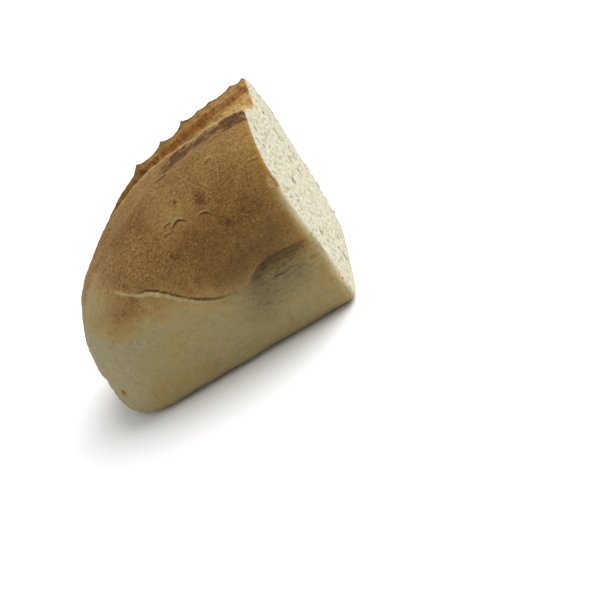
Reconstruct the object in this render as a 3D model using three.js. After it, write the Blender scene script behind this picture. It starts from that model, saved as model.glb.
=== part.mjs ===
// Half of a small split-top loaf, baked as one piece and cut straight across.
// Millimetres, +Z up. The cut face is at +X, the round baked end is at -X, and
// the loaf stands on the flat base that lay on the baking tin, at z = 0.

import * as THREE from 'three';

// Driving sizes
const LENGTH = 112;
const CUT_X = LENGTH / 2;
const END_X = -LENGTH / 2;

// Height of the point where the round end reaches furthest out
const NOSE_HEIGHT = 20.5;

// Height of the middle of the cut face
const HALF_HEIGHT = 42;

// Outline across the loaf at the cut, as [y, z], starting under the middle and
// going up the -Y side. The dent below the shoulder of the -Y side is the waist,
// where the top crust bulged out over the lower crust in the oven.
const OUTLINE = [
  [0, -3],
  [-20, -3],
  [-34, -1.5],
  [-40.5, 2],
  [-43.5, 10],
  [-46.2, 22],
  [-47.3, 31],
  [-46.6, 37],
  [-50, 44],
  [-51, 51],
  [-49.8, 60],
  [-43.5, 69],
  [-31, 77],
  [-13, 83.5],
  [6, 85.5],
  [24, 84],
  [37, 79],
  [46, 70],
  [50.3, 60],
  [51, 50],
  [49.5, 36],
  [46, 20],
  [42, 5],
  [35, -1.5],
  [20, -3],
];

// Torn groove of the score along the top: it is widest at the cut, and narrows and
// closes on its way to the round end
const GROOVE_AT_CUT = { y: 11, halfWidth: 13 };
const GROOVE_AT_CLOSE = { y: 20, halfWidth: 4 };
const GROOVE_DEPTH = 9;
const GROOVE_FULL_X = 20;
const GROOVE_CLOSE_X = -25;

// How the round end closes in each direction: where the taper starts, and how
// square it is (2 is an ellipse, more is squarer)
const SIDE_TAPER = { start: -27, power: 2 };
const TOP_TAPER = { start: 107, power: 2.25 };
const BASE_TAPER = { start: -37, power: 4.5 };

const POINTS_AROUND = 72;
const STATIONS = 26;

// Smooth step from 0 at `from` to 1 at `to`.
function smoothStep(value, from, to) {
  const t = THREE.MathUtils.clamp((value - from) / (to - from), 0, 1);
  return t * t * (3 - 2 * t);
}

// The taper for a direction around the loaf, blended between side, top and base.
function taperFor(direction) {
  const lift = Math.sin(direction);
  const blend = lift * lift;
  const vertical = lift > 0 ? TOP_TAPER : BASE_TAPER;
  return {
    start: THREE.MathUtils.lerp(SIDE_TAPER.start, vertical.start, blend),
    power: THREE.MathUtils.lerp(SIDE_TAPER.power, vertical.power, blend),
  };
}

// Share of the full outline that is left at station x, in a direction.
function share(x, direction) {
  const { start, power } = taperFor(direction);
  const along = THREE.MathUtils.clamp((start - x) / (start - END_X), 0, 1);
  return Math.pow(Math.max(0, 1 - Math.pow(along, power)), 1 / power);
}

// Depth of the torn groove at a place on the top.
function grooveDepth(x, y, z) {
  if (z < NOSE_HEIGHT) {
    return 0;
  }
  const t = THREE.MathUtils.clamp((x - GROOVE_CLOSE_X) / (CUT_X - GROOVE_CLOSE_X), 0, 1);
  const middle = THREE.MathUtils.lerp(GROOVE_AT_CLOSE.y, GROOVE_AT_CUT.y, t);
  const halfWidth = THREE.MathUtils.lerp(GROOVE_AT_CLOSE.halfWidth, GROOVE_AT_CUT.halfWidth, t);
  const across = (y - middle) / halfWidth;
  const fade = smoothStep(x, GROOVE_CLOSE_X, GROOVE_FULL_X);
  return GROOVE_DEPTH * fade * Math.exp(-Math.pow(across, 4));
}

// One ring of points around the loaf at station x.
function ringAt(x, outlinePoints) {
  return outlinePoints.map((point) => {
    const rise = point.y - NOSE_HEIGHT;
    const direction = Math.atan2(rise, point.x);
    const scale = share(x, direction);
    const y = point.x * scale;
    const z = NOSE_HEIGHT + rise * scale;
    return new THREE.Vector3(x, y, Math.max(0, z - grooveDepth(x, y, z)));
  });
}

// Stations from the cut face to just before the nose, closer together towards it.
function stationPositions() {
  const positions = [];
  for (let i = 0; i < STATIONS; i += 1) {
    const turn = (i / STATIONS) * (Math.PI / 2);
    positions.push(CUT_X - LENGTH * Math.sin(turn));
  }
  return positions;
}

// A closed body from rings that share one winding, with a flat first end and a
// single point at the last end.
function closedLoft(rings, flatCentre, tip) {
  const around = rings[0].length;
  const points = [...rings.flat(), flatCentre, tip];
  const flatIndex = rings.length * around;
  const tipIndex = flatIndex + 1;
  const lastRing = (rings.length - 1) * around;
  const triangles = [];
  for (let j = 0; j < around; j += 1) {
    const next = (j + 1) % around;
    triangles.push(flatIndex, next, j);
    triangles.push(tipIndex, lastRing + j, lastRing + next);
    for (let i = 0; i + 1 < rings.length; i += 1) {
      const here = i * around;
      const beyond = here + around;
      triangles.push(here + j, here + next, beyond + j);
      triangles.push(here + next, beyond + next, beyond + j);
    }
  }
  const geometry = new THREE.BufferGeometry().setFromPoints(points);
  geometry.setIndex(triangles);
  geometry.computeVertexNormals();
  return geometry;
}

function loafGeometry() {
  const corners = OUTLINE.map(([y, z]) => new THREE.Vector3(y, z, 0));
  const outline = new THREE.CatmullRomCurve3(corners, true, 'centripetal');
  const outlinePoints = outline.getSpacedPoints(POINTS_AROUND).slice(0, POINTS_AROUND);
  const rings = stationPositions().map((x) => ringAt(x, outlinePoints));
  const flatCentre = new THREE.Vector3(CUT_X, 0, HALF_HEIGHT);
  const tip = new THREE.Vector3(END_X, 0, NOSE_HEIGHT);
  return closedLoft(rings, flatCentre, tip);
}

const crust = new THREE.MeshStandardMaterial({
  name: 'crust',
  color: 0xb8864e,
  roughness: 0.75,
  metalness: 0,
});

const loafHalf = new THREE.Mesh(loafGeometry(), crust);
loafHalf.name = 'loaf_half';

const part = new THREE.Group();
part.add(loafHalf);

export default part;
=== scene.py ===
import itertools
import math

import bpy
import numpy as np
from mathutils import Matrix, Vector


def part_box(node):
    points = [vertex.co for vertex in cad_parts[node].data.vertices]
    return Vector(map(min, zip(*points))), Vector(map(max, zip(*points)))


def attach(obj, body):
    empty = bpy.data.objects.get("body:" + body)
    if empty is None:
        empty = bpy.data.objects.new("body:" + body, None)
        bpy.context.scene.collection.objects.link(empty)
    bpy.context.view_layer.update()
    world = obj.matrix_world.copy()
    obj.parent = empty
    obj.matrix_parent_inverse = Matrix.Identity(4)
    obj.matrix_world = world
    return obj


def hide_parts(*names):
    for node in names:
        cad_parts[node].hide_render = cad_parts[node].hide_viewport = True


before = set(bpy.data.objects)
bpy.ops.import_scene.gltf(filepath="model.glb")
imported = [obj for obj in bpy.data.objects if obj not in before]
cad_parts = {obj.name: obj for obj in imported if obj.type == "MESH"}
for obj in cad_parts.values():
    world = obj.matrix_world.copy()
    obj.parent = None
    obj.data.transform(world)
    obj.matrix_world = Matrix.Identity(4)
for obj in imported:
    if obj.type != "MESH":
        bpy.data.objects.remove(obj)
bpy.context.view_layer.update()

# The loaf is worked out in millimetres and made in metres.
MM = 0.001
low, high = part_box("loaf_half")
END_X = low[0] / MM
CUT_X = high[0] / MM
SIDE_Y = high[1] / MM
TOP_Z = high[2] / MM
# Height at which the round end reaches furthest out.
NOSE_HEIGHT = 20.5

# Outline across the loaf at the cut as (y, z), seen from the cut face.
OUTLINE = (
    (0, -3), (-20, -3), (-34, -1.5), (-40.5, 2), (-43.5, 10), (-46.5, 22), (-48.6, 33),
    (-50.2, 43), (-51, 51), (-49.8, 60), (-43.5, 69), (-31, 77), (-13, 83), (6, 84.5),
    (24, 83), (37, 78.5), (46, 70), (50.3, 60), (51, 50), (49.5, 36), (46, 20), (42, 5),
    (35, -1.5), (20, -3),
)

# How the round end closes, as (start of the taper, squareness), for each side of the loaf.
SIDE_TAPER = (-27.0, 2.0)
TOP_TAPER = (107.0, 2.25)
BASE_TAPER = (-37.0, 4.5)

# The tear along the top, between its near lip and the ear on the far side, as (x, y).
NEAR_LIP = (
    (-30, 17), (-22, 17), (-15, 17.5), (-8, 15.5), (1, 12), (7, 11.5), (17, 6.5), (26, 2), (36, -2),
    (47, -6), (56, -11.5),
)
FAR_EAR = ((-30, 18), (-22, 21), (-15, 24), (-1, 25.5), (12, 28), (31, 30), (56, 32))
TEAR_DEPTH = 9.0
# The ear's teeth, as (x, height).
EAR_TEETH = (
    (55, 0.8), (49, 1.2), (38, 1.0), (32, 0.8), (24, 2.6), (12, 2.4), (-1.5, 3.0), (-13, 0.3),
)
# Scorched patches below the near lip, as (x, y, half length, half width, tilt in degrees).
SCORCHES = (
    (49.5, -13.5, 9.5, 5.2, -36), (34, -8.8, 8.0, 3.6, -18), (20.0, -3.3, 10.5, 5.0, -20),
    (10.5, -8.5, 5.5, 1.0, -22),
)

# The waist seam on the near side, as (x, z).
SEAM = (
    (-28, 56), (-20, 54.9), (-14, 52.3), (-10, 50.6), (-8, 50.8), (-4, 49.2), (-1, 45.5), (3, 40),
    (10, 34.5), (18, 31), (25, 31), (30, 35), (34, 37), (44, 37.4), (56, 36.6),
)

# Raised creases in the crust of the near side, as (x, z, half length, tilt in degrees, height, bend).
CREASES = (
    (27.6, 65.0, 2.8, -19, 0.40, 0.13), (16.2, 66.5, 3.2, 2, 0.50, 0.09),
    (11.5, 67.0, 2.6, 6, 0.25, 0.02), (10.3, 64.7, 2.8, 2, 0.18, 0.02),
    (52.0, 71.2, 2.6, -8, 0.25, 0.0), (35.0, 76.0, 1.8, 8, 0.22, 0.05),
    (21.0, 61.5, 2.5, 30, 0.12, 0.05), (40.0, 69.0, 3.0, 15, 0.12, 0.05),
    (46.0, 67.0, 5.0, 70, 0.12, 0.03), (38.0, 73.0, 4.5, 75, 0.12, -0.03),
    (43.0, 71.0, 4.0, 80, 0.08, 0.02), (30.0, 72.0, 2.5, -30, 0.10, 0.05),
)
# Darker baked spots on the near side, as (x, z, radius, how much darker).
SPOTS = (
    (27.4, 68.6, 2.1, 0.34), (17.0, 70.5, 0.6, 0.4), (33.0, 58.0, 1.0, 0.3),
    (-45.0, 14.5, 1.2, 0.9), (8.0, 58.0, 0.7, 0.3),
)
# Broad areas of the near side, as (x, z, half width, half height, how much darker): the crust's browning,
# with painted shade low toward the cut and painted light at the round end.
TONES = (
    (28, 57, 21, 13, 0.16), (-42, 48, 16, 16, -0.28), (15, 66, 7, 5, -0.12), (24, 75, 15, 4, 0.07),
    (50, 76, 5, 6, -0.1), (36, 69, 7, 5, 0.12), (42, 58, 7, 5, 0.14), (29, 41, 15, 6, 0.12),
    (-18, 46, 9, 5, 0.08), (-25, 52, 7, 4, -0.16), (-12, 66, 10, 6, 0.08), (-40, 55, 8, 6, -0.22),
    (1, 66, 6, 5, 0.1), (-8, 43, 6, 4, 0.2), (-5, 71, 8, 4, 0.1), (12, 54, 8, 5, 0.06),
    (6, 61, 6, 4, -0.07),
)
# Height up to which the crust stayed pale, as (x, z).
PALE_BELOW = ((-56, 43), (-30, 38), (-18, 42), (-10, 49), (0, 45), (6, 38), (12, 34), (56, 32))
# Broad bumps and dents of the round end, as (x, y, z, radius, height).
BUMPS = ((-47, 3, 46, 11, 1.2), (-28, 6, 60, 8, -1.3))
# Middle of the piece broken from the edge of the crust at the cut.
CHIP = (55.5, -49.0, 62.0)

# Grid for the shape: cells are small at the cut face and longer along the crust.
CELL = 0.33
LONGEST_CELL = 0.75
MARGIN = 3 * CELL
# How far behind the cut the small cells reach.
CRUMB_DEPTH = 3.5
# Thickness of the crust without bubbles.
RIND = 1.2
# Radius of the edge round the base, and of the cut's edge where it is sharp and where it is worn.
BASE_ROUNDING = 4.0
SHARP_ROUNDING = 1.2
WORN_ROUNDING = 4.2
# A distance that counts as far from everything.
FAR = 9.0


def smooth_step(value, start, end):
    t = np.clip((value - start) / (end - start), 0.0, 1.0)
    return t * t * (3.0 - 2.0 * t)


def along(points, x):
    """Reads a line of (place, height) points at x, rounded at its corners."""
    places, heights = np.array(points, float).T
    reach = 2.5
    offsets = (-reach, 0.0, reach)
    return sum(np.interp(x + offset, places, heights) for offset in offsets) / len(offsets)


class Noise:
    """Gradient noise over space, from about -1 to 1."""

    def __init__(self, seed):
        random = np.random.default_rng(seed)
        self.order = np.tile(random.permutation(256), 2)
        turns = random.normal(size=(256, 3))
        self.slopes = (turns / np.linalg.norm(turns, axis=1)[:, None]).astype(np.float32)

    def at(self, points, size):
        """size is how large the features are, in mm, or one size for each axis."""
        scaled = points / np.asarray(size, np.float32)
        cell = np.floor(scaled).astype(np.int32)
        inside = (scaled - cell).astype(np.float32)
        fade = inside**3 * (inside * (inside * 6 - 15) + 10)
        total = np.zeros(len(points), np.float32)
        for corner in itertools.product((0, 1), repeat=3):
            i, j, k = ((cell + corner) & 255).T
            slope = self.slopes[self.order[self.order[self.order[i] + j] + k]]
            offset = inside - np.array(corner, np.float32)
            weight = np.prod(np.where(corner, fade, 1 - fade), axis=1)
            total += weight * np.einsum("ij,ij->i", slope, offset)
        return total * 1.6

    def layered(self, points, size, layers=3, gain=0.55):
        """Several sizes of noise on top of each other."""
        parts = (gain**n * self.at(points + 17.3 * n, size / 2.03**n) for n in range(layers))
        return sum(parts)


shape_noise = Noise(11)
crumb_noise = Noise(23)
tear_noise = Noise(37)


def outline_radius(direction):
    """Distance from the nose line to the outline, in a direction around the loaf."""
    corners = np.array(OUTLINE, float)
    before, after = np.roll(corners, 1, axis=0), np.roll(corners, -1, axis=0)
    beyond = np.roll(corners, -2, axis=0)
    steps = np.linspace(0, 1, 12, endpoint=False)[:, None, None]
    curve = 0.5 * (
        2 * corners
        + (after - before) * steps
        + (2 * before - 5 * corners + 4 * after - beyond) * steps**2
        + (3 * corners - before - 3 * after + beyond) * steps**3
    )
    curve = curve.transpose(1, 0, 2).reshape(-1, 2) - (0, NOSE_HEIGHT)
    angles = np.arctan2(curve[:, 1], curve[:, 0])
    return np.interp(direction, np.sort(angles), np.hypot(*curve.T)[np.argsort(angles)], period=2 * math.pi)


def grid_stations():
    """Places along the loaf where the grid has its planes."""
    places = [CUT_X + MARGIN]
    step = CELL
    while places[-1] > END_X - 2 * LONGEST_CELL:
        places.append(places[-1] - step)
        if places[-1] < CUT_X - CRUMB_DEPTH:
            step = min(step * 1.05, LONGEST_CELL)
    return np.array(places[::-1], np.float32)


def smooth_crust(x, y, z):
    """Distance to the plain loaf, negative inside, on the grid x by y by z."""
    rise = z[None, :] - NOSE_HEIGHT
    direction = np.arctan2(rise, y[:, None])
    reach = np.hypot(rise, y[:, None]) / outline_radius(direction)
    lift = np.sin(direction)
    up = lift > 0
    blend = lift**2
    start = SIDE_TAPER[0] + (np.where(up, TOP_TAPER[0], BASE_TAPER[0]) - SIDE_TAPER[0]) * blend
    power = SIDE_TAPER[1] + (np.where(up, TOP_TAPER[1], BASE_TAPER[1]) - SIDE_TAPER[1]) * blend
    start, power = start.astype(np.float32), power.astype(np.float32)
    share = np.clip((start - x[:, None, None]) / (start - END_X), 0, None)
    size = ((reach**power).astype(np.float32) + share**power) ** (1 / power)
    slope = sum(part**2 for part in np.gradient(size, x, y, z))
    return (size - 1) / np.sqrt(np.maximum(slope, 1e-8))


def cut_face(y, z):
    """Where the knife went through, as x: it leaned in a little at the top of the near side."""
    return CUT_X - smooth_step(z, 56, 72) * smooth_step(-y, -10, 12)


def ragged(x, size, seed):
    """An uneven line along the loaf, from about -1 to 1."""
    flat = np.asarray(x, np.float32).ravel()
    line = np.stack([flat, np.full_like(flat, seed), np.zeros_like(flat)], axis=1)
    return shape_noise.at(line, size).reshape(np.shape(x))


def tear_place(x, y):
    """How far past the near lip and past the ear a place is, in mm, and its share of the way across."""
    near = along(NEAR_LIP, x) + 1.1 * ragged(x, 5.0, 3) + 0.8 * ragged(x, 1.9, 9)
    far = along(FAR_EAR, x)
    return y - near, y - far, (y - near) / np.maximum(far - near, 1.5)


def tear_openness(x):
    """How far the tear has opened along the loaf, from 0 at its tail to 1."""
    return smooth_step(x, -30, 8)


def tooth_height(x):
    """The jagged edge of the ear: sharp points with hollow curves between them."""
    height = np.zeros_like(x)
    for place, tall in EAR_TEETH:
        height = np.maximum(height, tall * np.exp(-np.abs(x - place) / (1.2 + 0.6 * tall)))
    return height


def torn_relief(points):
    """How far the torn crumb stands up in strands and lumps, in mm."""
    lumps = tear_noise.at(points, (4.5, 3.5, 3.5))
    strands = 1 - 2 * np.abs(tear_noise.at(points + 40, (1.5, 3.6, 3.0)))
    fine = tear_noise.at(points + 80, 1.0)
    return 1.0 * lumps + 0.55 * strands + 0.15 * fine


def open_tear(distance, x, y, z):
    """Sinks the tear into the top of the crust and raises its ear."""
    top = np.searchsorted(z, 48)
    _, _, across = tear_place(x[:, None], y[None, :])
    openness = tear_openness(x)[:, None]
    depth = TEAR_DEPTH - 2.0 * smooth_step(x, 30, 56)[:, None]
    sinking = smooth_step(x, -28, 22)[:, None]
    valley = depth * sinking**2 * np.exp(-(((across - 0.50) / 0.30) ** 2))
    lip = 0.8 * openness * np.exp(-(((across + 0.04) / 0.08) ** 2))
    ear_width = np.where(across < 1, 0.09, 0.2)
    ear = 1.8 * smooth_step(x, -30, -14) + tooth_height(x)
    ear = ear[:, None] * np.exp(-(((across - 1.0) / ear_width) ** 2))
    sunk = (valley - lip - ear).astype(np.float32)
    distance[:, :, top:] += sunk[:, :, None]
    points, where = near_points(distance, x, y, z, 4.0, (x > -24, y > -20, z > 45))
    _, _, across = tear_place(points[:, 0], points[:, 1])
    torn = tear_openness(points[:, 0]) * smooth_step(across, 0.0, 0.08)
    torn = torn * (1 - smooth_step(across, 0.88, 1.0))
    distance[where] -= torn * torn_relief(points)


def near_points(distance, x, y, z, reach, parts):
    """The grid points within reach of the surface and inside parts, with their indices."""
    allowed = parts[0][:, None, None] & parts[1][:, None] & parts[2]
    where = np.nonzero((np.abs(distance) < reach) & allowed)
    points = np.stack([axis[index] for axis, index in zip((x, y, z), where)], axis=1)
    return points.astype(np.float32), where


def seam_height(points):
    """Height over the seam's jagged line."""
    wander = 0.5 * shape_noise.at(points, 4.0) + 0.3 * shape_noise.at(points, 1.5)
    return points[:, 2] - along(SEAM, points[:, 0]) - wander


def open_seam(distance, x, y, z):
    """The waist: a fine crack over a ledge, and towards the cut a bulge over a rough hollow."""
    points, where = near_points(distance, x, y, z, 5.0, (x > -36, y < -8, (z > 8) & (z < 72)))
    px = points[:, 0]
    above = seam_height(points)
    below = -above
    overhang = smooth_step(px, 6, 28)
    rounded = 1.3 * np.exp(-((np.maximum(above, 0) / 3.5) ** 2))
    step = 2.2 * smooth_step(below, -0.2, 0.6)
    fade = 1 - smooth_step(below, 10, 24)
    hollow = overhang * (rounded + step) * fade
    crack = 1.4 * smooth_step(px, -12, -8) * np.exp(-(((above - 0.4) / 0.45) ** 2))
    ledge = 0.7 * smooth_step(px, -24, -17) * smooth_step(below, -0.3, 0.2)
    ledge = ledge * np.exp(-np.maximum(below, 0) / 1.5)
    rough = overhang * smooth_step(below, -0.1, 1.5) * (1 - smooth_step(below, 9, 16))
    shreds = np.abs(tear_noise.at(points, (6.0, 1.8, 1.8)))
    shreds = shreds + 0.5 * np.abs(tear_noise.at(points + 9, (3.0, 1.0, 1.0)))
    rough *= 0.9 * shreds + 0.3 * shape_noise.at(points, 4.0)
    distance[where] += hollow + (1 - overhang) * (crack - ledge) + rough


def break_edge(distance, x, y, z):
    """Breaks a small piece from the crust at the cut."""
    middle = np.array(CHIP, np.float32)
    parts = [np.abs(axis - place) < 5 for axis, place in zip((x, y, z), middle)]
    points, where = near_points(distance, x, y, z, 5.0, parts)
    away = np.linalg.norm((points - middle) / (1.0, 1.0, 1.4), axis=1)
    bite = 2.0 + 0.7 * crumb_noise.at(points, 1.4) - away
    distance[where] = np.maximum(distance[where], bite)


class Pores:
    """Bubbles opened by the cut, as turned and stretched balls."""

    # Middle radius, spread of the radii, and how many are tried, largest first.
    kinds = ((1.5, 0.2, 70), (0.95, 0.25, 3500), (0.55, 0.2, 7000))
    overlap = 0.88

    def __init__(self, seed):
        random = np.random.default_rng(seed)
        total = sum(count for _, _, count in self.kinds)
        spots = np.empty((total, 2), np.float32)
        radii = np.empty(total, np.float32)
        placed = 0
        for middle, spread, count in self.kinds:
            tries = random.uniform((-SIDE_Y, 0.0), (SIDE_Y, TOP_Z), (count, 2)).astype(np.float32)
            sizes = middle * np.exp(random.normal(0, spread, count))
            for spot, size in zip(tries, sizes):
                gaps = ((spots[:placed] - spot) ** 2).sum(axis=1)
                if np.all(gaps > (self.overlap * (radii[:placed] + size)) ** 2):
                    spots[placed] = spot
                    radii[placed] = size
                    placed += 1
        self.radii = radii[:placed]
        under = self.radii * random.uniform(-0.72, 0.28, placed)
        face = cut_face(*spots[:placed].T)
        self.centres = np.column_stack([face - under, spots[:placed]]).astype(np.float32)
        self.turns = np.linalg.qr(random.normal(size=(placed, 3, 3)))[0]
        self.stretch = np.exp(random.normal(0, 0.24, (placed, 3)))


def open_pores(distance, crust, x, y, z):
    """Cuts the bubbles out of the crumb, smaller close under the crust."""
    pores = Pores(5)
    first = np.searchsorted(x, CUT_X - CRUMB_DEPTH - 1)
    xs = x[first:]
    grid = np.stack(np.meshgrid(xs, y, z, indexing="ij"), axis=-1)
    inside = crust[first:] < 0
    points = grid[inside]
    bend = [0.5 * crumb_noise.at(points + 31 * axis, 1.8) for axis in range(3)]
    grid[inside] += np.stack(bend, axis=1)
    hollow = np.full(crust[first:].shape, FAR, np.float32)
    for centre, radius, turn, stretch in zip(pores.centres, pores.radii, pores.turns, pores.stretch):
        at = [np.searchsorted(axis, c) for axis, c in zip((xs, y, z), centre)]
        depth = -crust[first:][tuple(np.minimum(at, np.array(hollow.shape) - 1))]
        if depth < RIND:
            continue
        size = radius * (0.6 + 0.4 * min(1.0, (depth - RIND) / 5.0))
        reach = size * 1.7 + 0.6
        spans = tuple(
            slice(np.searchsorted(axis, c - reach), np.searchsorted(axis, c + reach))
            for axis, c in zip((xs, y, z), centre)
        )
        local = (grid[spans] - centre) @ turn / (size * stretch)
        gap = (np.sqrt(np.einsum("...i,...i->...", local, local)) - 1) * size
        hollow[spans] = np.minimum(hollow[spans], gap)
    hollow = np.maximum(hollow, 0.8 * RIND + crust[first:])
    distance[first:] = np.maximum(distance[first:], -hollow)


def surface_of(field, x, y, z):
    """A closed mesh of four-sided faces where the field crosses zero (surface nets)."""
    inside = field < 0
    corners = list(itertools.product((0, 1), repeat=3))
    nx, ny, nz = (n - 1 for n in field.shape)
    count = sum(inside[i:i + nx, j:j + ny, k:k + nz].astype(np.int8) for i, j, k in corners)
    cells = np.nonzero((count > 0) & (count < 8))
    values = np.stack([field[cells[0] + i, cells[1] + j, cells[2] + k] for i, j, k in corners], axis=1)
    total = np.zeros((len(values), 3), np.float32)
    crossings = np.zeros((len(values), 1), np.float32)
    for a, b in itertools.combinations(range(8), 2):
        step = np.subtract(corners[b], corners[a])
        if np.abs(step).sum() != 1:
            continue
        start, end = values[:, a:a + 1], values[:, b:b + 1]
        crosses = (start < 0) != (end < 0)
        share = start / np.where(crosses, start - end, 1)
        total += np.where(crosses, corners[a] + share * step, 0)
        crossings += crosses
    places = np.stack(cells, axis=1) + total / crossings
    axes = (x, y, z)
    vertices = [np.interp(places[:, n], np.arange(len(axes[n])), axes[n]) for n in range(3)]
    number = np.full((nx, ny, nz), -1, np.int32)
    number[cells] = np.arange(len(values))
    faces = [faces_across(inside, number, axis) for axis in range(3)]
    return np.stack(vertices, axis=1), np.concatenate(faces)


def faces_across(inside, number, axis):
    """The faces that cross the grid's edges along one axis, turned to face outwards."""
    ahead = np.moveaxis(inside, axis, 0)
    cells = np.moveaxis(number, axis, 0)
    start, end = ahead[:-1, 1:-1, 1:-1], ahead[1:, 1:-1, 1:-1]
    found = []
    for leaving in (True, False):
        i, j, k = np.nonzero((start == leaving) & (end != leaving))
        ring = [cells[i, j, k], cells[i, j + 1, k], cells[i, j + 1, k + 1], cells[i, j, k + 1]]
        forwards = leaving != (axis == 1)
        found.append(np.stack(ring if forwards else ring[::-1], axis=1))
    return np.concatenate(found)


def largest_piece(vertices, faces):
    """Drops the closed bubbles that nobody can see, which are separate pieces."""
    label = np.arange(len(vertices))
    while True:
        lowest = label[faces].min(axis=1)
        fresh = label.copy()
        np.minimum.at(fresh, faces.ravel(), np.repeat(lowest, 4))
        fresh = fresh[fresh]
        if np.array_equal(fresh, label):
            break
        label = fresh
    main = np.bincount(label).argmax()
    kept = label == main
    renumber = np.cumsum(kept) - 1
    return vertices[kept], renumber[faces[kept[faces[:, 0]]]]


def vertex_normals(vertices, faces):
    across = vertices[faces[:, 2]] - vertices[faces[:, 0]]
    along_face = vertices[faces[:, 3]] - vertices[faces[:, 1]]
    normal = np.cross(across, along_face)
    total = np.zeros_like(vertices)
    for corner in range(4):
        for axis in range(3):
            total[:, axis] += np.bincount(faces[:, corner], normal[:, axis], len(vertices))
    return total / np.maximum(np.linalg.norm(total, axis=1), 1e-9)[:, None]


def read_grid(field, x, y, z, points):
    """Values of the field at points, between its grid points."""
    places = []
    for axis, column in zip((x, y, z), points.T):
        at = np.interp(column, axis, np.arange(len(axis)))
        places.append(np.clip(at, 0, len(axis) - 1.001))
    base = [place.astype(np.int32) for place in places]
    part = [place - floor for place, floor in zip(places, base)]
    total = 0
    for corner in itertools.product((0, 1), repeat=3):
        weight = 1
        for share, side in zip(part, corner):
            weight = weight * (share if side else 1 - share)
        total = total + weight * field[tuple(floor + side for floor, side in zip(base, corner))]
    return total


def rounded_corner(first, second, radius):
    """The larger of two distances, rounded where they meet."""
    return np.maximum(first, second) + np.maximum(radius - np.abs(first - second), 0) ** 2 / (4 * radius)


def loaf_shape():
    """Vertices and faces of the loaf, in mm, and how deep each vertex was under the crust."""
    x = grid_stations()
    y = np.arange(-SIDE_Y - MARGIN - 2, SIDE_Y + MARGIN + 2, CELL, dtype=np.float32)
    z = np.arange(-MARGIN, TOP_Z + MARGIN + 4, CELL, dtype=np.float32)
    crust = np.clip(smooth_crust(x, y, z), -25, 25)
    open_tear(crust, x, y, z)
    open_seam(crust, x, y, z)
    solid = rounded_corner(crust, -z, BASE_ROUNDING)
    cut = x[:, None, None] - cut_face(y[:, None], z).astype(np.float32)
    worn = smooth_step(-y, 20, 40)[:, None] * (1 - smooth_step(z, 56, 66))
    rounding = SHARP_ROUNDING + (WORN_ROUNDING - SHARP_ROUNDING) * worn.astype(np.float32)
    field = rounded_corner(solid, cut, rounding)
    break_edge(field, x, y, z)
    open_pores(field, solid, x, y, z)
    vertices, faces = largest_piece(*surface_of(field, x, y, z))
    depth = -read_grid(solid, x, y, z, vertices)
    return vertices, faces, depth


def nearest_crease(points):
    """How far above the nearest crease's line each point is, in mm, and how tall that crease is there."""
    above = np.full(len(points), FAR, np.float32)
    height = np.zeros(len(points), np.float32)
    for x, z, half, tilt, tall, bend in CREASES:
        turn = math.radians(tilt)
        aside, up = points[:, 0] - x, points[:, 2] - z
        lengthwise = math.cos(turn) * aside + math.sin(turn) * up
        across = math.cos(turn) * up - math.sin(turn) * aside + bend * lengthwise**2
        tall_here = tall * np.exp(-((lengthwise / half) ** 4))
        stronger = tall_here * np.exp(-(across**2)) > height * np.exp(-(above**2))
        above = np.where(stronger, across, above)
        height = np.where(stronger, tall_here, height)
    return above, height * smooth_step(-points[:, 1], 10, 20)


def crease_relief(points):
    """The few long creases of the near side, each a ridge with a dent under it."""
    above, height = nearest_crease(points)
    return height * (0.8 * np.exp(-((above / 0.3) ** 2)) - 0.5 * np.exp(-(((above + 0.6) / 0.35) ** 2)))


def roughen(vertices, faces, depth):
    """Lumps, leathery wrinkles and fine grain of the crust, and the tooth of the cut crumb."""
    normal = vertex_normals(vertices, faces)
    points = vertices.astype(np.float32)
    outside = 1 - smooth_step(depth, 0.3, 1.2)
    lumps = 0.9 * shape_noise.at(points, 26.0) + 0.35 * shape_noise.at(points, 9.0)
    for x, y, z, radius, height in BUMPS:
        lumps += height * np.exp(-(((points - (x, y, z)) / radius) ** 2).sum(axis=1))
    leathery = 0.45 + 0.55 * smooth_step(-points[:, 0], -22, 12)
    leather = 0.20 * leathery * shape_noise.at(points, 2.4) + 0.14 * shape_noise.at(points, 1.3)
    streaks = 0.16 * shape_noise.at(points, (8.0, 2.0, 2.0))
    crumbs = 0.16 * crumb_noise.at(points, 1.5) + 0.05 * crumb_noise.at(points, 0.8)
    far_low = smooth_step(points[:, 1], 20, 40) * (1 - smooth_step(points[:, 2], 50, 60))
    at_cut = np.exp((points[:, 0] - CUT_X) / 0.8)
    frayed = (0.5 + 0.4 * far_low) * at_cut * shape_noise.layered(points, 1.9, 2, 0.8)
    move = outside * (lumps + leather + streaks + crease_relief(points) + frayed) + (1 - outside) * crumbs
    on_base = 1 - smooth_step(points[:, 2], 0.2, 2.5)
    move = move * (1 - on_base * 0.9)
    moved = vertices + normal * move[:, None]
    moved[:, 2] = np.maximum(moved[:, 2], 0)
    return moved


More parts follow.
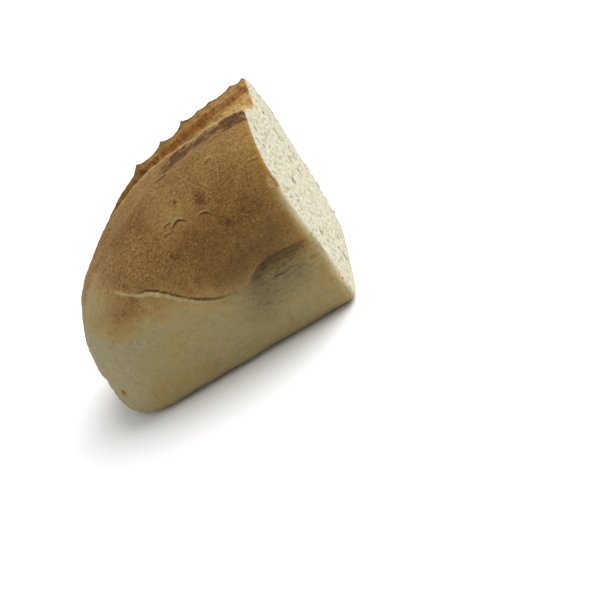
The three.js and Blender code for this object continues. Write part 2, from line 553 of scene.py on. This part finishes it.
def scorched(points):
    """The burnt patches under the lip, and the burnt edge and points of the ear."""
    px, py, pz = points.T
    burnt = np.full_like(px, -FAR)
    for x, y, half_length, half_width, tilt in SCORCHES:
        turn = math.radians(tilt)
        lengthwise = math.cos(turn) * (px - x) + math.sin(turn) * (py - y)
        sideways = math.cos(turn) * (py - y) - math.sin(turn) * (px - x)
        away = (lengthwise / half_length) ** 2 + (sideways / half_width) ** 2
        burnt = np.maximum(burnt, 1.5 - away)
    ragged_edge = 1.1 * shape_noise.at(points, (3.5, 2.0, 2.0)) + 0.6 * shape_noise.at(points, 1.3)
    past_lip, past_ear, _ = tear_place(px, py)
    under_lip = smooth_step(pz, 50, 58) * smooth_step(-past_lip, 1.6, 2.8)
    burnt = under_lip * smooth_step(burnt + ragged_edge, 0.35, 1.1)
    edge = past_ear + 0.6 * smooth_step(px, 28, 42) - 0.9 * smooth_step(-px, -24, 0)
    on_ear = smooth_step(pz, 50, 58) * smooth_step(px, -27, -12) * smooth_step(edge, -1.3, -0.1)
    between_teeth = 0.45 - 0.35 * smooth_step(-px, -2, 8)
    tips = on_ear * (between_teeth + 0.6 * smooth_step(tooth_height(px), 0.3, 1.0))
    tips = tips * (1 - smooth_step(past_ear, 1.5, 6))
    return np.maximum(burnt, tips)


def baked_and_shaded(points):
    """How brown the crust is, from 0 for pale to 1 for dark, with painted shade and painted light from some
    of the broad tones.
    """
    px, py, pz = points.T
    near_side = smooth_step(-py, 8, 20)
    brown = 0.56 + 0.06 * shape_noise.layered(points, 22.0) + 0.05 * shape_noise.at(points, 7.0)
    brown -= 0.08 * smooth_step(-px, 25, 45)
    # Some tones are painted shade low toward the cut and painted light at the round end.
    for x, z, half_width, half_height, darker in TONES:
        area = np.exp(-(((px - x) / half_width) ** 2) - ((pz - z) / half_height) ** 2)
        brown += darker * near_side * area
    for x, z, radius, darker in SPOTS:
        away = np.hypot(px - x, pz - z) / radius + 0.5 * shape_noise.at(points, 1.5)
        brown += darker * near_side * np.exp(-(np.maximum(away, 0) ** 3))
    over = pz - along(PALE_BELOW, px)
    over = over + 2.5 * shape_noise.at(points, 9.0) + 1.0 * shape_noise.at(points, 3.0)
    low_down = 1 - smooth_step(over, -7, 7)
    return brown - 0.48 * low_down


def tear_masks(points):
    """Where the crumb is torn, how toasted it is there, and the pale edge of the near lip."""
    px, py, pz = points.T
    past_lip, past_ear, across = tear_place(px, py)
    tear = smooth_step(pz, 50, 58) * smooth_step(px, -27, -12)
    torn = tear * smooth_step(past_lip, -0.4, 0.8) * (1 - smooth_step(past_ear, -1.2, -0.2))
    tufts = 0.5 * torn_relief(points)
    middle = 0.86 - 0.06 * smooth_step(px, 12, 50)
    ridge = np.exp(-(((across - middle) / 0.072) ** 4))
    tan = (0.33 + 0.22 * smooth_step(px, 15, 40)) * smooth_step(across, middle + 0.04, middle + 0.10)
    toast = ridge * (0.6 + 0.4 * smooth_step(tufts, -0.7, 0.5))
    toast = toast + 0.25 * (1 - ridge) * smooth_step(tufts, 0.0, 1.0)
    width = 1.5 + 1.3 * smooth_step(px, 15, 50)
    lip = tear * smooth_step(px, -22, 5) * np.exp(-(((past_lip + 0.6) / width) ** 2))
    lip *= 0.75 + 0.6 * crumb_noise.at(points, (3.0, 1.5, 1.5))
    return torn, np.clip(np.maximum(toast, tan), 0, 1), lip


def seam_masks(points, near_side):
    """Painted shade in the hollow, in the crack and along the seam, and the pale ledge under it, partly a
    painted highlight.
    """
    px = points[:, 0]
    below = -seam_height(points)
    # The pale ledge under the crack: bare crust, partly a painted highlight on its lit top.
    width = 1.2 + 1.0 * np.exp(-(((px + 2) / 6.0) ** 2))
    ledge = smooth_step(below, -0.3, 0.1) * (1 - smooth_step(below, 0.5 * width, 1.3 * width))
    ledge *= smooth_step(px, -25, -16) * (0.75 + 0.5 * shape_noise.at(points, 1.2))
    ledge *= near_side * (1 - smooth_step(px, 6, 20))
    # Painted shade: dark in the hollow under the bulge, in the crack and in a band along the seam.
    seam_shade = 0.48 * (1 - smooth_step(below, 8, 22)) + 0.40 * (1 - smooth_step(below, 2, 8))
    seam_shade *= smooth_step(px + 0.3 * below, 16, 33) * (1 - smooth_step(px + 0.35 * below, 46, 57))
    seam_shade *= smooth_step(below, -0.3, 0.4)
    crack = (0.42 + 0.5 * ragged(px, 2.5, 5)) * smooth_step(px, -12, -8)
    crack = crack * np.exp(-(((below + 0.5) / 0.4) ** 2)) * (1 - smooth_step(px, 10, 20))
    shaded = 0.48 * np.exp(-(((below + 7) / 10) ** 2))
    shaded = shaded * smooth_step(px, 8, 25) * (1 - smooth_step(px, 44, 54))
    return near_side * np.maximum(np.maximum(seam_shade, crack), shaded), ledge


def crust_masks(points, depth):
    """What the material needs to know at each vertex."""
    px, py, pz = points.T
    near_side = smooth_step(-py, 8, 20)
    torn, toast, lip = tear_masks(points)
    seam_shade, ledge = seam_masks(points, near_side)
    at_cut = smooth_step(px + 0.8 * shape_noise.at(points, 2.0), 51.5, 55.5)
    bare = near_side * at_cut * (1 - smooth_step(pz, 54, 62))
    thin = smooth_step(np.abs(py), 25, 42) * (1 - smooth_step(pz, 56, 68))
    chip = np.exp(-(np.linalg.norm(points - np.array(CHIP, np.float32), axis=1) / 3.3) ** 6)
    above_crease, crease = nearest_crease(points)
    inwards = cut_face(py, pz) - px
    leathery = smooth_step(-px, -22, 12) * smooth_step(pz, 48, 58)
    return {
        "crumb": smooth_step(depth + 0.6 * thin, 0.7, 1.8) * (1 - chip),
        # Bare crust at the cut, and the seam's pale ledge, partly a painted highlight.
        "bare": np.clip(np.maximum(0.8 * bare, ledge), 0, 1),
        "rim": (0.45 + 0.4 * thin) * np.exp(-np.maximum(depth - 0.5, 0) / 1.8),
        # Painted shade deeper into the pores behind the cut.
        "hollow": 0.22 * smooth_step(inwards, 0.2, 0.6) + 0.68 * smooth_step(inwards, 0.6, 1.6),
        "torn": torn,
        "toast": toast,
        "lip": np.clip(lip + chip * smooth_step(crumb_noise.at(points, 1.2), -0.3, 0.3), 0, 1),
        "scorch": scorched(points),
        # Painted shade along the seam.
        "seam_shade": seam_shade,
        "baked_and_shaded": baked_and_shaded(points),
        "above_crease": above_crease,
        "crease": crease,
        # Painted glow near the cut, and the broken chip.
        "edge": np.clip(np.exp(-inwards / 3.0) + chip, 0, 1),
        "leathery": np.maximum(leathery, 0.68 * smooth_step(pz, 66, 74)),
    }


def make_mesh(name, vertices, faces, masks):
    mesh = bpy.data.meshes.new(name)
    mesh.vertices.add(len(vertices))
    mesh.vertices.foreach_set("co", (vertices * MM).astype(np.float32).ravel())
    mesh.loops.add(faces.size)
    mesh.loops.foreach_set("vertex_index", faces.astype(np.int32).ravel())
    mesh.polygons.add(len(faces))
    mesh.polygons.foreach_set("loop_start", np.arange(0, faces.size, 4, dtype=np.int32))
    mesh.update(calc_edges=True)
    mesh.shade_smooth()
    for mask, values in masks.items():
        layer = mesh.attributes.new(mask, "FLOAT", "POINT")
        layer.data.foreach_set("value", values.astype(np.float32))
    piece = bpy.data.objects.new(name, mesh)
    bpy.context.scene.collection.objects.link(piece)
    return piece


class Nodes:
    """Short calls for building a material's node tree."""

    def __init__(self, name):
        self.material = bpy.data.materials.new(name)
        self.material.use_nodes = True
        self.tree = self.material.node_tree
        self.shader = self.tree.nodes["Principled BSDF"]
        self.place = self.tree.nodes.new("ShaderNodeTexCoord").outputs["Object"]

    def link(self, value, socket):
        if isinstance(value, bpy.types.NodeSocket):
            self.tree.links.new(value, socket)
        else:
            socket.default_value = value

    def mask(self, name):
        node = self.tree.nodes.new("ShaderNodeAttribute")
        node.attribute_name = name
        return node.outputs["Fac"]

    def noise(self, size_mm, detail=3.0, roughness=0.55, bend=0.0, squeeze=(1, 1, 1)):
        node = self.tree.nodes.new("ShaderNodeTexNoise")
        mapping = self.tree.nodes.new("ShaderNodeMapping")
        mapping.inputs["Scale"].default_value = squeeze
        self.link(self.place, mapping.inputs["Vector"])
        self.link(mapping.outputs["Vector"], node.inputs["Vector"])
        node.inputs["Scale"].default_value = 1 / (size_mm * MM)
        node.inputs["Detail"].default_value = detail
        node.inputs["Roughness"].default_value = roughness
        node.inputs["Distortion"].default_value = bend
        return node.outputs["Fac"]

    def math(self, operation, a, b=0.0, clamp=False):
        node = self.tree.nodes.new("ShaderNodeMath")
        node.operation = operation
        node.use_clamp = clamp
        self.link(a, node.inputs[0])
        self.link(b, node.inputs[1])
        return node.outputs[0]

    def span(self, value, start, end):
        """Takes value from 0 at start to 1 at end."""
        node = self.tree.nodes.new("ShaderNodeMapRange")
        node.interpolation_type = "SMOOTHSTEP"
        self.link(value, node.inputs["Value"])
        node.inputs["From Min"].default_value = start
        node.inputs["From Max"].default_value = end
        return node.outputs["Result"]

    def mix(self, share, first, second):
        node = self.tree.nodes.new("ShaderNodeMix")
        node.data_type = "RGBA"
        self.link(share, node.inputs[0])
        self.link(first, node.inputs[6])
        self.link(second, node.inputs[7])
        return node.outputs[2]

    def cells(self, size_mm):
        """Distance from the middle of the nearest of many small cells."""
        node = self.tree.nodes.new("ShaderNodeTexVoronoi")
        self.link(self.place, node.inputs["Vector"])
        node.inputs["Scale"].default_value = 1 / (size_mm * MM)
        return node.outputs["Distance"]

    def ramp(self, value, stops):
        node = self.tree.nodes.new("ShaderNodeValToRGB")
        colours = node.color_ramp.elements
        while len(colours) < len(stops):
            colours.new(0.5)
        for colour, (place, shade) in zip(colours, stops):
            colour.position = place
            colour.color = shade
        self.link(value, node.inputs["Fac"])
        return node.outputs["Color"]

    def bump(self, height, distance_mm, strength, below=None):
        node = self.tree.nodes.new("ShaderNodeBump")
        node.inputs["Distance"].default_value = distance_mm * MM
        node.inputs["Strength"].default_value = strength
        self.link(height, node.inputs["Height"])
        if below is not None:
            self.link(below, node.inputs["Normal"])
        return node.outputs["Normal"]


CRUMB = (0.51, 0.50, 0.40, 1)
CRUMB_DIM = (0.475, 0.45, 0.34, 1)
# Painted shade deeper inside the pores.
CRUMB_PORE_SHADE = (0.31, 0.255, 0.12, 1)
CRUMB_RIM = (0.41, 0.34, 0.16, 1)
# Crust colours from pale to dark, each with its place on the scale of browning and painted shade.
CRUST = (
    (0.00, (0.300, 0.252, 0.135, 1)),
    (0.15, (0.315, 0.238, 0.092, 1)),
    (0.30, (0.31, 0.200, 0.068, 1)),
    (0.55, (0.235, 0.125, 0.033, 1)),
    (0.80, (0.135, 0.062, 0.014, 1)),
    (1.00, (0.080, 0.034, 0.010, 1)),
)
SCORCHED = (0.075, 0.030, 0.012, 1)
TORN_GOLD = (0.44, 0.28, 0.085, 1)
TORN_TOAST = (0.25, 0.092, 0.015, 1)
TORN_DARK = (0.12, 0.046, 0.011, 1)
LIP = (0.43, 0.30, 0.13, 1)
# Painted shade in the hollow, crack and band along the seam.
SEAM_SHADE = (0.070, 0.046, 0.017, 1)
# Painted glow of light through the thin crust along the cut, also the ground colour of the broken chip.
EDGE_GLOW_AND_CHIP = (0.34, 0.185, 0.040, 1)


def bread_material():
    n = Nodes("bread")
    mottle = n.noise(3.0, 4, 0.62)
    grain = n.noise(0.6, 2, 0.6)
    pebbles = n.cells(1.05)
    wavy = n.math("ABSOLUTE", n.math("SUBTRACT", n.noise(2.4, 2, 0.5, 1.0), 0.5))
    hairlines = n.math("MULTIPLY", n.span(wavy, 0.03, 0.0), n.span(mottle, 0.42, 0.58))
    specks = n.math("MULTIPLY", n.span(n.cells(1.9), 0.22, 0.08), n.span(mottle, 0.56, 0.44))
    light = n.math("ADD", n.math("MULTIPLY", hairlines, 0.42), n.math("MULTIPLY", specks, 0.24))
    uneven = n.math("MULTIPLY", n.math("SUBTRACT", mottle, 0.5), 0.42)
    leather = n.math("MULTIPLY", n.span(n.mask("leathery"), -0.6, 1.0), 0.42)
    pebbly = n.math("MULTIPLY", n.math("SUBTRACT", pebbles, 0.45), leather)
    grainy = n.math("MULTIPLY", n.math("SUBTRACT", 0.5, grain), 0.77)
    detail = n.math("ADD", n.math("ADD", uneven, pebbly), n.math("SUBTRACT", grainy, light))
    # The crust's browning, with painted shade and painted light in it.
    brown = n.mask("baked_and_shaded")
    shade = n.math("ADD", brown, n.math("MULTIPLY", detail, n.span(brown, 0.0, 0.4)))
    # Painted highlight along the crest of each crease and painted shade in the dent under it.
    above = n.mask("above_crease")
    crest_highlight = n.span(n.math("ABSOLUTE", above), 0.35, 0.0)
    fold_shade = n.span(n.math("ABSOLUTE", n.math("ADD", above, 0.5)), 0.4, 0.0)
    line = n.math("MULTIPLY", n.math("SUBTRACT", fold_shade, crest_highlight), n.mask("crease"))
    shade = n.math("ADD", shade, line)
    crust = n.ramp(shade, CRUST)
    # Painted glow along the cut's edge, and the chip's ground colour.
    crust = n.mix(n.math("MULTIPLY", n.mask("edge"), 0.7), crust, EDGE_GLOW_AND_CHIP)
    # Painted shade along the seam.
    crust = n.mix(n.mask("seam_shade"), crust, SEAM_SHADE)
    # Bare crust at the cut and the seam's pale ledge, partly a painted highlight.
    crust = n.mix(n.mask("bare"), crust, CRUMB_RIM)
    streaks = n.noise(1.3, 3, 0.6, squeeze=(1, 0.35, 0.35))
    toasted = n.mix(n.span(streaks, 0.42, 0.64), TORN_TOAST, TORN_DARK)
    torn = n.mix(n.mask("toast"), TORN_GOLD, toasted)
    colour = n.mix(n.mask("torn"), crust, torn)
    colour = n.mix(n.mask("lip"), colour, LIP)
    scorch = n.math("MULTIPLY", n.mask("scorch"), n.span(grain, 0.25, 0.55), True)
    colour = n.mix(scorch, colour, SCORCHED)
    crumb = n.mix(n.span(n.noise(1.3, 3), 0.35, 0.65), CRUMB_DIM, CRUMB)
    # Painted shade, darker deeper into the pores behind the cut.
    crumb = n.mix(n.mask("hollow"), crumb, CRUMB_PORE_SHADE)
    crumb = n.mix(n.mask("rim"), crumb, CRUMB_RIM)
    colour = n.mix(n.mask("crumb"), colour, crumb)
    n.link(colour, n.shader.inputs["Base Color"])
    roughness = n.math("ADD", n.math("MULTIPLY", mottle, 0.25), 0.5)
    roughness = n.math("MAXIMUM", roughness, n.mask("crumb"))
    n.link(roughness, n.shader.inputs["Roughness"])
    n.shader.inputs["Specular IOR Level"].default_value = 0.12
    n.link(n.math("MULTIPLY", n.mask("crumb"), 0.8), n.shader.inputs["Subsurface Weight"])
    n.shader.inputs["Subsurface Radius"].default_value = (1.0, 0.7, 0.4)
    n.shader.inputs["Subsurface Scale"].default_value = 1.6 * MM
    pitted = n.math("MULTIPLY", pebbles, n.math("MULTIPLY", leather, -2.0))
    skin = n.math("ADD", pitted, n.math("MULTIPLY", hairlines, 0.5))
    fine = n.bump(grain, 0.3, 0.7)
    n.link(n.bump(skin, 0.35, 0.8, fine), n.shader.inputs["Normal"])
    return n.material


def make_loaf():
    vertices, faces, depth = loaf_shape()
    masks = crust_masks(vertices.astype(np.float32), depth)
    vertices = roughen(vertices, faces, depth)
    loaf = make_mesh("loaf", vertices, faces, masks)
    loaf.data.materials.append(bread_material())
    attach(loaf, "root")
    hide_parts("loaf_half")


# Half the floor's width, in metres.
FLOOR_HALF = 30.0
# How wide each sun looks from the loaf, and how bright the studio is around it.
SOFTNESS = math.radians(60)
STUDIO_STRENGTH = 0.5


def make_floor():
    half = FLOOR_HALF
    mesh = bpy.data.meshes.new("floor")
    corners = [(-half, -half, 0), (half, -half, 0), (half, half, 0), (-half, half, 0)]
    mesh.from_pydata(corners, [], [(0, 1, 2, 3)])
    floor = bpy.data.objects.new("floor", mesh)
    bpy.context.scene.collection.objects.link(floor)
    paint = bpy.data.materials.new("floor")
    paint.use_nodes = True
    shader = paint.node_tree.nodes["Principled BSDF"]
    shader.inputs["Base Color"].default_value = (0.92, 0.92, 0.92, 1)
    shader.inputs["Roughness"].default_value = 0.9
    mesh.materials.append(paint)


def add_sun(name, strength, shines_from):
    """A broad, soft light from far away."""
    sun = bpy.data.lights.new(name, "SUN")
    sun.energy = strength * math.pi
    sun.angle = SOFTNESS
    holder = bpy.data.objects.new(name, sun)
    holder.rotation_euler = Vector(shines_from).to_track_quat("Z", "Y").to_euler()
    bpy.context.scene.collection.objects.link(holder)


def make_light():
    world = bpy.data.worlds.new("studio")
    world.use_nodes = True
    background = world.node_tree.nodes["Background"]
    background.inputs["Color"].default_value = (1, 1, 1, 1)
    background.inputs["Strength"].default_value = STUDIO_STRENGTH
    bpy.context.scene.world = world
    add_sun("key", 1.05, (0.55, 0.25, 0.80))
    add_sun("fill", 0.3, (-0.98, -0.05, 0.12))


# The view: where the camera stands around the loaf, and how far the loaf turns in the picture.
AZIMUTH = math.radians(11.1)
ELEVATION = math.radians(22.6)
ROLL = math.radians(34.4)
CAMERA_AWAY = 0.4956
LOAF_MIDDLE = Vector((0.001, 0, 0.040))
# Where the loaf's middle falls in the picture, from its centre, as shares of its width.
OFF_CENTRE = (-0.1885, 0.0805)
LENS, SENSOR = 72.0, 36.0


def make_camera():
    towards = Vector((math.sin(AZIMUTH) * math.cos(ELEVATION), -math.cos(AZIMUTH) * math.cos(ELEVATION),
                      math.sin(ELEVATION)))
    level = Vector((math.cos(AZIMUTH), math.sin(AZIMUTH), 0))
    upright = towards.cross(level)
    right = math.cos(ROLL) * level - math.sin(ROLL) * upright
    up = math.sin(ROLL) * level + math.cos(ROLL) * upright
    aside = (OFF_CENTRE[0] * right + OFF_CENTRE[1] * up) * SENSOR / LENS
    camera = bpy.data.cameras.new("camera")
    camera.lens = LENS
    camera.sensor_width = SENSOR
    holder = bpy.data.objects.new("camera", camera)
    turn = Matrix((right, up, towards)).transposed().to_4x4()
    holder.matrix_world = Matrix.Translation(LOAF_MIDDLE + CAMERA_AWAY * (towards - aside)) @ turn
    bpy.context.scene.collection.objects.link(holder)
    bpy.context.scene.camera = holder


make_camera()
make_loaf()
make_floor()
make_light()
bpy.context.scene.view_settings.view_transform = "Standard"
